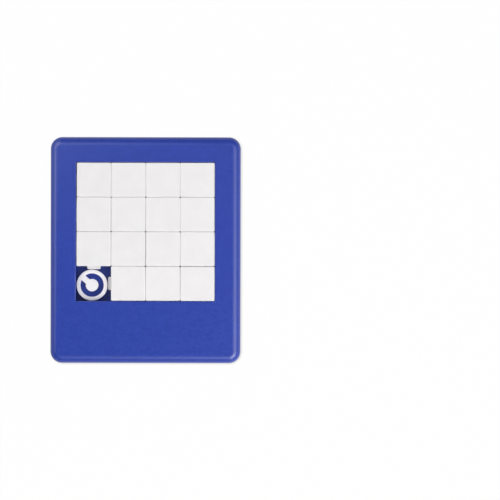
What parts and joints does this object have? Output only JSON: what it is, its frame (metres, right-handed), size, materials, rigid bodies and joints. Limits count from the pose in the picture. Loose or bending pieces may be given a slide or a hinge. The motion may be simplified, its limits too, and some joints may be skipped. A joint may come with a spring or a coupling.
{
  "type": "sliding puzzle",
  "caption": "Flat pocket sliding puzzle: blank square tiles that interlock by tabs and grooves in a rounded plastic case, with a slotted lock disc in the empty cell.",
  "frame": {"origin": "centre of the flat back, on the surface that the puzzle lies on", "axes": "+X to the right and +Y up as seen from the front, +Z out of the face"},
  "size_m": [0.0672, 0.08, 0.007],
  "materials": {
    "blue_case": "satin moulded polystyrene with a fine spark-eroded texture",
    "white_tile": "white moulded plastic, smooth satin",
    "white_disc": "white moulded plastic, smooth satin"
  },
  "bodies": {
    "housing": {"front_frame": "blue_case", "back_plate": "blue_case"},
    "lock_disc": {"lock_disc": "white_disc"},
    "tile_01": {"tile_01": "white_tile"},
    "tile_02": {"tile_02": "white_tile"},
    "tile_03": {"tile_03": "white_tile"},
    "tile_04": {"tile_04": "white_tile"},
    "tile_05": {"tile_05": "white_tile"},
    "tile_06": {"tile_06": "white_tile"},
    "tile_07": {"tile_07": "white_tile"},
    "tile_08": {"tile_08": "white_tile"},
    "tile_09": {"tile_09": "white_tile"},
    "tile_10": {"tile_10": "white_tile"},
    "tile_11": {"tile_11": "white_tile"},
    "tile_12": {"tile_12": "white_tile"},
    "tile_13": {"tile_13": "white_tile"},
    "tile_14": {"tile_14": "white_tile"},
    "tile_15": {"tile_15": "white_tile"}
  },
  "joints": [
    {"name": "lock_disc_lift", "type": "slide", "parent": "housing", "child": "lock_disc", "axis": [0, 0, 1], "range_m": [0, 0.05]},
    {"name": "tile_01_slide", "type": "slide", "parent": "housing", "child": "tile_01", "axis": [0, 1, 0], "range_m": [-0.00005, 0.00005]},
    {"name": "tile_02_slide", "type": "slide", "parent": "housing", "child": "tile_02", "axis": [0, 1, 0], "range_m": [-0.00005, 0.00005]},
    {"name": "tile_03_slide", "type": "slide", "parent": "housing", "child": "tile_03", "axis": [0, 1, 0], "range_m": [-0.00005, 0.00005]},
    {"name": "tile_04_slide", "type": "slide", "parent": "housing", "child": "tile_04", "axis": [0, 1, 0], "range_m": [-0.00005, 0.00005]},
    {"name": "tile_05_slide", "type": "slide", "parent": "housing", "child": "tile_05", "axis": [0, 1, 0], "range_m": [-0.00005, 0.00005]},
    {"name": "tile_06_slide", "type": "slide", "parent": "housing", "child": "tile_06", "axis": [0, 1, 0], "range_m": [-0.00005, 0.00005]},
    {"name": "tile_07_slide", "type": "slide", "parent": "housing", "child": "tile_07", "axis": [0, 1, 0], "range_m": [-0.00005, 0.00005]},
    {"name": "tile_08_slide", "type": "slide", "parent": "housing", "child": "tile_08", "axis": [0, 1, 0], "range_m": [-0.00005, 0.00005]},
    {"name": "tile_09_slide", "type": "slide", "parent": "housing", "child": "tile_09", "axis": [0, 1, 0], "range_m": [-0.00005, 0.00005]},
    {"name": "tile_10_slide", "type": "slide", "parent": "housing", "child": "tile_10", "axis": [0, 1, 0], "range_m": [-0.00005, 0.00005]},
    {"name": "tile_11_slide", "type": "slide", "parent": "housing", "child": "tile_11", "axis": [0, 1, 0], "range_m": [-0.00005, 0.00005]},
    {"name": "tile_12_slide", "type": "slide", "parent": "housing", "child": "tile_12", "axis": [0, 1, 0], "range_m": [-0.00005, 0.00005]},
    {"name": "tile_13_slide", "type": "slide", "parent": "housing", "child": "tile_13", "axis": [-1, 0, 0], "range_m": [0, 0.0123]},
    {"name": "tile_14_slide", "type": "slide", "parent": "housing", "child": "tile_14", "axis": [-1, 0, 0], "range_m": [0, 0.0123]},
    {"name": "tile_15_slide", "type": "slide", "parent": "housing", "child": "tile_15", "axis": [-1, 0, 0], "range_m": [0, 0.0123]}
  ],
  "couplings": [
    {"joint": "tile_13_slide", "follows": "lock_disc_lift", "ratio": 0.246},
    {"joint": "tile_14_slide", "follows": "lock_disc_lift", "ratio": 0.246},
    {"joint": "tile_15_slide", "follows": "lock_disc_lift", "ratio": 0.246}
  ]
}
